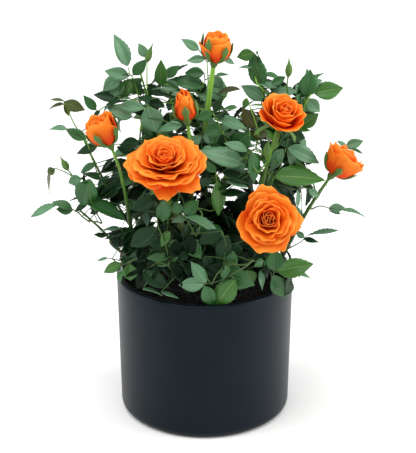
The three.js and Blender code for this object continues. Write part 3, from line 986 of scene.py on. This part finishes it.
def planned_leaf(start, heading, above, size, pairs, rng):
    """A compound leaf from start: its stalk, and its leaflets. Each leaflet is its base,
    direction, up and length, and the point of the stalk that it grows from."""
    heading = unit(heading)
    across, _, up = facing(heading, above)
    reach = size * (0.6 + 0.7 * pairs)
    sag = unit(heading + 0.25 * up + rng.normal(size=3) * 0.08)
    stalk = bezier(start, start + 0.5 * reach * sag, start + reach * unit(heading - [0, 0, 0.12]), 10)
    leaflets = []
    for k in range(pairs):
        knot = round(10 * (0.4 + 0.5 * (k + 0.2) / pairs))
        for side in (-1, 1):
            spread = math.radians(rng.uniform(55, 76))
            way = heading * math.cos(spread) + side * across * math.sin(spread) + up * rng.uniform(-0.1, 0.25)
            tilt = unit(up + side * across * rng.uniform(-0.3, 0.35) + rng.normal(size=3) * 0.14)
            grown = size * (0.8 + 0.12 * k) * rng.uniform(0.9, 1.08)
            leaflets.append((stalk[knot] + way * 0.8 * MM, way, tilt, grown, knot))
    tip_way = unit(heading + up * rng.uniform(-0.25, 0.2))
    tip_tilt = unit(up + rng.normal(size=3) * 0.14)
    leaflets.append((stalk[-1], tip_way, tip_tilt, size * rng.uniform(1, 1.12), 10))
    return stalk, leaflets


seeded = np.random.default_rng(23)
crown_middle = np.array((0, 0, 0.17))
masses = []
for node in full_nodes:
    low, high = (np.array(corner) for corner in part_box(node))
    area = sum(p.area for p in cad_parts[node].data.polygons)
    masses.append(((low + high) / 2, (high - low) / 2, area))
masses.sort(key=lambda mass: mass[0][2])

# First the shoots branch until every part of each mass is near one, from the lowest mass up.
shoot_tips = []
for middle, half, area in masses:
    for _ in range(round(area * SHOOTS_PER_AREA)):
        target = middle + unit(seeded.normal(size=3)) * seeded.uniform(0.1, 0.72) * half
        i = nearest_joint(target)
        start, way, run = joints[i], joint_ways[i], np.linalg.norm(target - joints[i])
        if not SHORTEST_SHOOT <= run <= LONGEST_SHOOT or beyond(crown_tree, target) > 0:
            continue
        bow = start + 0.2 * run * way + 0.35 * (target - start) + (0, 0, 0.12 * run)
        path = bezier(start, bow, target, max(3, round(run / STEP)))
        between = (path[1:] + path[:-1]) / 2
        if all(clear_of_all(p) for p in path[1:]) and not any(in_opening(p) for p in between):
            grow_shoot(path, i)
            shoot_tips.append(len(joints) - 1)


def try_leaf(start, heading, size, pairs, rng):
    """Grows a leaf from start if there is room for most of it, and says whether it did."""
    above = unit([0, 0, 0.8] + 0.9 * unit(start - crown_middle) + 0.35 * rng.normal(size=3))
    stalk, leaflets = planned_leaf(start, heading, above, size, pairs, rng)
    kept = [part for part in leaflets if has_room(*part[:4])]
    if len(kept) < 0.5 * len(leaflets):
        return False
    # Low down, leaves more often get the low shares: painted shade where the crown's shadow falls.
    light = np.clip((start[2] - LIGHT_FROM) / (LIGHT_TO - LIGHT_FROM), 0, 1)
    shares = TINT_SHARES if rng.uniform() < light else LOW_SHARES
    tint = list(shares)[rng.choice(len(shares), p=list(shares.values()))]
    stalk = stalk[: kept[-1][4] + 1]
    stalk_heap.put(*tube(stalk, np.linspace(STALK, STALK * 0.6, len(stalk)), STALK_SIDES))
    for base, way, tilt, length, _ in kept:
        put_leaflet(base, way, tilt, length, rng.uniform(0.26, 0.33), rng.uniform(0.2, 0.9), tint, rng)
    return True


# Then a leaf grows from the tip of each shoot, and others from the joints in and beside each
# mass until it is full.
for i in shoot_tips:
    for _ in range(TIP_TRIES):
        heading = unit(joint_ways[i] + 0.5 * unit(joints[i] - crown_middle) + 0.4 * seeded.normal(size=3))
        size = LEAFLET * seeded.uniform(0.72, 1.1)
        if try_leaf(joints[i], heading, size, seeded.choice([1, 2, 2]), seeded):
            bear_at(i)
            break
for middle, half, area in masses:
    placed = 0
    wanted = round(area * LEAVES_PER_AREA)
    at_hand = np.array(joints)
    for _ in range(wanted * LEAF_TRIES):
        if placed >= wanted:
            break
        size = LEAFLET * seeded.uniform(0.68, 1.1)
        pairs = seeded.choice([1, 1, 2] if half.min() < 19 * MM else [1, 2, 2, 3])
        reach = size * (0.9 + 0.7 * pairs)
        target = middle + unit(seeded.normal(size=3)) * seeded.uniform(0.3, 0.95) * half
        distance = np.linalg.norm(at_hand - target, axis=1)
        near = np.flatnonzero((distance > 0.4 * reach) & (distance < 1.15 * reach))
        if len(near):
            i = near[seeded.integers(len(near))]
            heading = unit(unit(target - joints[i]) + 0.25 * seeded.normal(size=3))
            if try_leaf(joints[i], heading, size, pairs, seeded):
                bear_at(i)
                placed += 1

for tint, (blade_code, under_code, glow, shine) in TINTS.items():
    blade = leaf_material(f"rose_leaf_{tint}", blade_code, glow, shine, 0.38)
    under = leaf_material(f"rose_leaf_{tint}_underside", under_code, glow, shine, 0.6)
    stands_for = crown_nodes if tint == "deep" else []
    leaf_heaps[tint].piece(f"leaves_{tint}", [blade, under], "leaf", *stands_for)
    if tint in back_heaps:
        back_heaps[tint].piece(f"leaves_{tint}_behind", [blade, under], "leaf")

# Leaf stalks: the same waxy skin as the blades, with only a faint shine.
GREEN_STALK = leaf_material("green_leaf_stalk", "#41602b", 0.05, 0.35, 0.5)
stalk_heap.piece("leaf_stalks", [GREEN_STALK], "leaf")
for path, _, last in shoots:
    if last:
        path = path[: last + 1]
        shoot_heap.put(*tube(path, np.linspace(SHOOT, SHOOT * 0.65, len(path)), SHOOT_SIDES))
shoot_heap.piece("side_shoots", [BARK], "cane")

# ---------------------------------------------------------------- the roses
# Double blooms of velvety orange petals set in a spiral round the middle. The inner petals
# wrap each other, and the outer ones open and roll back at the edge.

PETAL_THICKNESS = 0.3 * MM
PETAL_ROWS, PETAL_COLUMNS = 14, 15
SPIRAL = 137.5
PETAL_FACES, _ = shell_faces(PETAL_ROWS, PETAL_COLUMNS)


def petal_material(name, throat, middle, edge):
    """A petal: matt velvet that glows where light comes through it. Its colour runs from a
    red-orange base to a pale edge: partly its own colour, partly painted shade deep in the
    flower and a painted highlight on the edges that catch the light.
    """
    material, tree = new_material(name)
    blade = add(tree, "UVMap", uv_map="blade")
    parts = add(tree, "SeparateXYZ", {"Vector": blade})
    # Base to edge along the petal: the deep base is partly painted shade, and the pale edge partly a painted
    # highlight.
    tone = add(tree, "ValToRGB", {"Fac": parts.outputs["Y"]}, ((0.45, throat), (0.82, middle), (1, edge)))
    fine = add(tree, "Mapping", {"Vector": blade, "Scale": (26, 1.5, 1)})
    veins = add(tree, "TexNoise", {"Vector": fine, "Scale": 1.0, "Detail": 3})
    shade = add(tree, "MapRange", {"Value": veins, "To Min": 0.86, "To Max": 1.12})
    veined = add(tree, "VectorMath", {0: tone, "Scale": shade}, operation="SCALE")
    relief = add(tree, "Bump", {"Height": veins, "Strength": 0.2, "Distance": 0.2 * MM})
    look = {"Base Color": veined, "Roughness": 0.62, "Specular IOR Level": 0.3, "Normal": relief}
    velvet = add(tree, "BsdfPrincipled", look)
    glow = add(tree, "BsdfTranslucent", {"Color": veined, "Normal": relief})
    both = add(tree, "MixShader", {0: 0.32, 1: velvet, 2: glow})
    add(tree, "OutputMaterial", {"Surface": both})
    return material


def bent(run, bends, step, root):
    """How far out and up a blade's line has come at each share of its run, and its angle from
    the axis there. bends are its angles at base, middle and tip, and root is where it starts."""
    a0, a1, a2 = np.radians(bends)
    angle = (1 - run) ** 2 * a0 + 2 * run * (1 - run) * a1 + run**2 * a2
    out = root + np.concatenate(([0], np.cumsum(np.sin(angle)[:-1]))) * step
    rise = np.concatenate(([0], np.cumsum(np.cos(angle)[:-1]))) * step
    return out, rise, angle


def petal(length, width, bends, wrap, roll, ruffle, root, point, lean, rng):
    """Points and uv of one petal's shell, set on +X of a flower whose axis is +Z.
    bends are its angles from the axis at base, middle and tip, wrap is how closely it curls
    round the flower, roll how far its sides roll back, ruffle how deep the waves of its rim
    are, root how far from the axis it starts, point how pointed its tip is, and lean how far
    its tip is turned aside."""
    u = np.linspace(-1, 1, PETAL_COLUMNS)[None]
    v = np.linspace(0, 1, PETAL_ROWS)[:, None]
    scallop = 0.035 * np.sin(8 * u + 9 * lean / 0.08)
    along = v * (1 - 0.25 * np.abs(u) ** 2.8 + point * (1 - np.abs(u)) ** 2 + lean * u + scallop)
    fine = np.linspace(0, 1.4, 60)
    r, z, a = (np.interp(along, fine, k) for k in bent(fine, bends, length * (fine[1] - fine[0]), root))
    breadth = 0.25 + 0.75 * np.sin(np.minimum(along / 0.62, 1) * math.pi / 2)
    breadth -= 0.12 * np.maximum(along - 0.7, 0) / 0.3
    across = u * width / 2 * breadth
    bowl = np.maximum(r, width * 0.2) / wrap
    lateral = bowl * np.sin(across / bowl)
    inward = bowl * (1 - np.cos(across / bowl))
    edge = np.maximum(np.abs(u) - 0.4, 0) / 0.6
    backward = roll * edge**2 * along**2 * width * 0.5
    phase = rng.uniform(0, 6.28, 3)
    rim = np.maximum(edge, np.maximum(along - 0.55, 0) / 0.45)
    wave = np.sin(3.2 * u + phase[0]) + 0.7 * np.sin(7 * u + 3 * v + phase[1])
    wave += 0.4 * np.sin(11 * u + phase[2])
    away = ruffle * length * rim**1.5 * wave
    openness = np.clip(np.sin(a), 0, 1)
    x = r - inward * (1 - openness * 0.6) + (backward + away) * np.cos(a)
    z = z + inward * openness * 0.6 - (backward + away) * np.sin(a)
    points = shell(np.stack((x, lateral, z), -1), PETAL_THICKNESS)
    uv = np.stack((np.broadcast_to((u + 1) / 2, along.shape), along), -1).reshape(-1, 2)
    return points, np.vstack((uv, uv))


def rose_frame(name):
    """The hip, axis and half width of a rose, from its solid and its cane's head."""
    points = np.array([v.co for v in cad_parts[f"rose_{name}"].data.vertices])
    hip = cane_lines[name][-1]
    axis = unit(points.mean(0) - hip)
    rise = (points - hip) @ axis
    reach = np.linalg.norm(points - hip - rise[:, None] * axis, axis=1)
    return hip, axis, reach.max()


# Each rose's number of petals, and their stages from the heart through the cup to the guard
# petals. A stage gives length, width, bends at base, middle and tip, wrap, roll, ruffle and
# root. Lengths are shares of the rose's half width, and bends are degrees.
BLOOMS = {
    "front_left": (
        42,
        (0.54, 0.6, 2, -2, -6, 1.0, 0.0, 0.03, 0.01),
        (0.68, 0.8, 22, 8, 22, 0.95, 0.02, 0.04, 0.03),
        (0.78, 0.95, 38, 16, 50, 0.9, 0.05, 0.045, 0.05),
        (0.85, 1.05, 56, 32, 80, 0.8, 0.08, 0.05, 0.08),
        (0.88, 1.1, 76, 54, 96, 0.5, 0.1, 0.055, 0.12),
    ),
    "front_right": (
        30,
        (0.62, 0.42, 5, -3, -12, 0.55, 0.0, 0.015, 0.0),
        (0.68, 0.8, 36, 4, 12, 0.7, 0.03, 0.035, 0.03),
        (0.8, 1.05, 58, 14, 52, 0.9, 0.1, 0.045, 0.08),
        (0.88, 1.25, 82, 44, 92, 0.7, 0.15, 0.045, 0.12),
    ),
    "upper_right": (
        15,
        (1.12, 0.8, 10, -8, -10, 1.0, 0.0, 0.03, 0.02),
        (1.26, 1.5, 52, -10, 10, 1.0, 0.05, 0.03, 0.06),
        (1.26, 1.9, 76, 0, 56, 0.95, 0.1, 0.035, 0.1),
    ),
    "top": (
        14,
        (1.4, 1.0, 25, -14, -14, 1.0, 0.0, 0.02, 0.05),
        (1.85, 1.7, 76, -22, -6, 1.0, 0.04, 0.02, 0.08),
        (2.0, 2.2, 92, -22, -2, 1.0, 0.06, 0.025, 0.1),
    ),
    "left": (
        15,
        (1.45, 0.9, 25, -14, -12, 1.0, 0.0, 0.03, 0.05),
        (1.76, 1.6, 70, -18, 4, 1.0, 0.04, 0.03, 0.08),
        (1.86, 2.0, 86, -18, 14, 1.0, 0.06, 0.035, 0.1),
    ),
    "right": (
        13,
        (1.2, 0.9, 20, -12, -10, 1.0, 0.0, 0.02, 0.05),
        (1.58, 1.7, 74, -14, 14, 1.0, 0.04, 0.025, 0.08),
        (1.68, 2.3, 92, -16, 40, 1.0, 0.06, 0.03, 0.1),
    ),
    "centre_bud": (
        12,
        (2.9, 1.6, 28, -14, -16, 1.0, 0.0, 0.03, 0.1),
        (3.0, 2.3, 68, -26, -18, 1.0, 0.02, 0.02, 0.12),
        (2.8, 2.6, 84, -30, -12, 1.0, 0.02, 0.025, 0.14),
    ),
}
# Petals that stand out from the spiral: the way round from the right in degrees, then length,
# width, bends, wrap, roll and point.
LOOSE_PETALS = {
    "front_left": [
        (274, 0.74, 0.6, (90, 96, 122), 0.4, -0.1, 0.0),
        (326, 0.85, 0.7, (86, 78, 112), 0.4, 0.3, 0.08),
        (14, 0.89, 1.0, (78, 62, 84), 0.5, 0.25, 0.04),
        (180, 0.92, 1.1, (78, 62, 84), 0.5, 0.1, 0.0),
    ],
    "front_right": [
        (95, 0.94, 1.0, (80, 50, 76), 0.6, 0.2, 0.1),
        (-4, 0.92, 1.0, (80, 56, 80), 0.6, 0.2, 0.1),
        (294, 0.88, 0.8, (84, 60, 92), 0.6, 0.25, 0.1),
        (204, 0.98, 1.25, (82, 42, 66), 0.85, -0.1, -0.05),
    ],
    "upper_right": [
        (188, 1.25, 1.6, (84, 14, 60), 0.95, 0.15, 0.06),
        (268, 1.1, 1.8, (80, 0, 84), 1.0, 0.05, 0.0),
    ],
    "top": [(84, 1.55, 1.7, (88, 4, 34), 1.0, 0.05, 0.0)],
    "right": [(300, 1.48, 1.7, (84, -4, 66), 1.0, 0.1, 0.0)],
}

# The inner petals, from the middle out, get redder and deeper colours than the others: painted shade, the
# glowing red-orange of the shade deep among the heart's petals.
PETAL = petal_material("orange_rose_petal", "#f04e04", "#fb8a18", "#ffa236")
HEART_PETAL_PAINTED_SHADE = petal_material("inner_rose_petal_painted_shade", "#ee3602", "#fb6e0e", "#ff942c")
HEART_SHARE = 0.42  # of the petals, from the middle out


def flower_axes(axis):
    """Rows right, up and out of a flower, as seen by someone who faces it."""
    right = unit(np.cross([0, 0, 1], axis))
    return np.array((right, np.cross(axis, right), axis))


def spun(points, degrees):
    """points turned about +Z."""
    c, s = math.cos(math.radians(degrees)), math.sin(math.radians(degrees))
    return points @ np.array([[c, s, 0], [-s, c, 0], [0, 0, 1]])


HIP_HEIGHT = 5 * MM
SEAT = 0.7  # how far up the hip petals and sepals start
LOOSE_RUFFLE, LOOSE_ROOT = 0.03, 0.12  # shares of the petal's length and the rose's half width
seeded = np.random.default_rng(41)
for name, (count, *stages) in BLOOMS.items():
    hip, axis, reach = rose_frame(name)
    axes = flower_axes(axis)
    base = hip + axis * HIP_HEIGHT * SEAT
    flower = Heap()
    at = np.linspace(0, 1, len(stages))
    for i in range(count):
        t = i / (count - 1)
        length, width, b0, b1, b2, wrap, roll, ruffle, root = (np.interp(t, at, s) for s in zip(*stages))
        points, uv = petal(
            length * reach * seeded.uniform(0.92, 1.06),
            width * reach * seeded.uniform(0.85, 1.2),
            np.array((b0, b1, b2)) + seeded.normal(size=3) * (6 if b2 > 30 else 4),
            wrap * seeded.uniform(0.8, 1),
            roll * seeded.uniform(0.3, 1.4),
            ruffle,
            root * reach,
            t * seeded.uniform(-0.06, 0.09),
            seeded.uniform(-0.08, 0.08),
            seeded,
        )
        points = spun(points, i * SPIRAL + seeded.uniform(-24, 24))
        flower.put(points @ axes + base, PETAL_FACES, int(t < HEART_SHARE), uv)
    for turn, length, width, bends, wrap, roll, point in LOOSE_PETALS.get(name, []):
        size = length * reach, width * reach
        points, uv = petal(*size, bends, wrap, roll, LOOSE_RUFFLE, LOOSE_ROOT * reach, point, 0, seeded)
        flower.put(spun(points, turn) @ axes + base, PETAL_FACES, 0, uv)
    flower.piece(f"petals_{name}", [PETAL, HEART_PETAL_PAINTED_SHADE], "petal", f"rose_{name}")

# ---------------------------------------------------------------- hips, sepals and green buds
# Under each rose a green hip swells from the cane and carries five narrow sepals with small
# side lobes. They clasp a bud, and fold back under an open rose. Green buds are still shut.

SEPAL_ROWS, SEPAL_COLUMNS = 12, 5
CLASPING_WIDTH, FOLDED_WIDTH = 5.6 * MM, 4.6 * MM
SEPAL_FACES, _ = shell_faces(SEPAL_ROWS, SEPAL_COLUMNS)
# Length of the sepals in mm, how far round the hip the first one sits in degrees, and the bends
# of sepals that fold back from the flower. The others clasp its outer petals.
SEPALS = {
    "front_left": (18, 20, (100, 140, 150)),
    "front_right": (18, 20, (100, 140, 150)),
    "upper_right": (19, 20, (95, 130, 165)),
    "top": (24, 50, None),
    "left": (22, 52, None),
    "right": (18, 22, None),
    "centre_bud": (22, 22, None),
}
# Green buds, as the columns and rows of their foot, middle and tip, and their depth in mm.
GREEN_BUDS = {
    "left_bud": ((147, 62), (149, 54), (153, 43), 12),
    "right_bud": ((288, 77), (289, 69), (289, 57), 14),
    "low_left_bud": ((68, 170), (65, 165), (60, 156), 10),
    "stem_bud": ((266, 157), (267, 149), (269, 137), -29),
}
# Where the stalks of two of them bend, in the same way.
BUD_STALKS = {"right_bud": (287, 90, 14), "low_left_bud": (76, 179, 10)}


def sepal(length, width, bends, root, whole):
    """Points of one sepal's shell, set on +X like a petal. It follows a curve of length whole
    that has the given bends, as far as its own length goes."""
    u = np.linspace(-1, 1, SEPAL_COLUMNS)[None]
    v = np.linspace(0, 1, SEPAL_ROWS)[:, None]
    fine = np.linspace(0, 1, 40)
    line = bent(fine * length / whole, bends, length / 39, root)
    r, z, a = (np.interp(v, fine, k) for k in line)
    lobes = 0.5 * np.maximum(0, np.sin(v * math.pi * 3.2)) * (v > 0.3) * (v < 0.95)
    across = u * width / 2 * (np.sqrt(np.maximum(0, 1 - v)) * (0.7 + 0.6 * v) + lobes + 0.04)
    cup = 0.35 * (np.abs(u) ** 2) * width * 0.5
    grid = np.stack((r - cup * np.cos(a), across, z + cup * np.sin(a)), -1)
    return shell(grid, 0.4 * MM)


# Sepals and hips: smooth fresh green that lets a little light through at the edges.
CALYX = leaf_material("green_sepals_and_hip", "#557a33", 0.1, 0.35, 0.5)
green = Heap()
seeded = np.random.default_rng(3)
for name, (length, first, bends) in SEPALS.items():
    hip, axis, reach = rose_frame(name)
    guard_length, _, *guard_bends, _, _, _, guard_root = BLOOMS[name][-1]
    clasping = bends is None
    bends = (guard_bends[0] + 8, guard_bends[1] + 6, guard_bends[2] + 2) if clasping else bends
    root = guard_root * reach + 1.5 * MM if clasping else 2.4 * MM
    axes = flower_axes(axis)
    path = np.array([hip + axis * HIP_HEIGHT * t for t in np.linspace(-0.35, 1, 7)])
    green.put(*tube(path, np.array([1.4, 1.9, 2.7, 3.1, 3.1, 2.8, 2.6]) * MM, 14))
    for k in range(5):
        swing = seeded.normal(size=3) * (2 if clasping else 6)
        long = length * MM * seeded.uniform(0.9, 1.1)
        whole = guard_length * reach if clasping else long
        width = CLASPING_WIDTH if clasping else FOLDED_WIDTH
        points = spun(sepal(long, width, np.array(bends) + swing, root, whole), 72 * k + first)
        green.put(points @ axes + hip + axis * HIP_HEIGHT * SEAT, SEPAL_FACES)

for name, (foot, middle, tip, depth) in GREEN_BUDS.items():
    foot, middle, tip = (seen_at(u, v, depth * MM) for u, v in (foot, middle, tip))
    path = resampled([foot, middle, tip], 14)
    spindle = np.interp(
        np.linspace(0, 1, 15),
        [0, 0.12, 0.3, 0.5, 0.65, 0.8, 1],
        np.array([0.8, 2.2, 2.9, 2.4, 1.3, 0.6, 0.15]) * MM,
    )
    turn = np.linspace(0, 2 * math.pi, 15, endpoint=False)
    green.put(*tube(path, spindle[:, None] * (1 + 0.07 * np.cos(5 * turn)), 15))
    if name in BUD_STALKS:
        u, v, back = BUD_STALKS[name]
        low = seen_at(u, v, back * MM)
        start = joints[nearest_joint(low)]
        green.put(*tube(resampled([start, low, foot], 12), [STALK * 1.3] * 13, SHOOT_SIDES))
green.piece("hips_sepals_and_buds", [CALYX], "leaf")
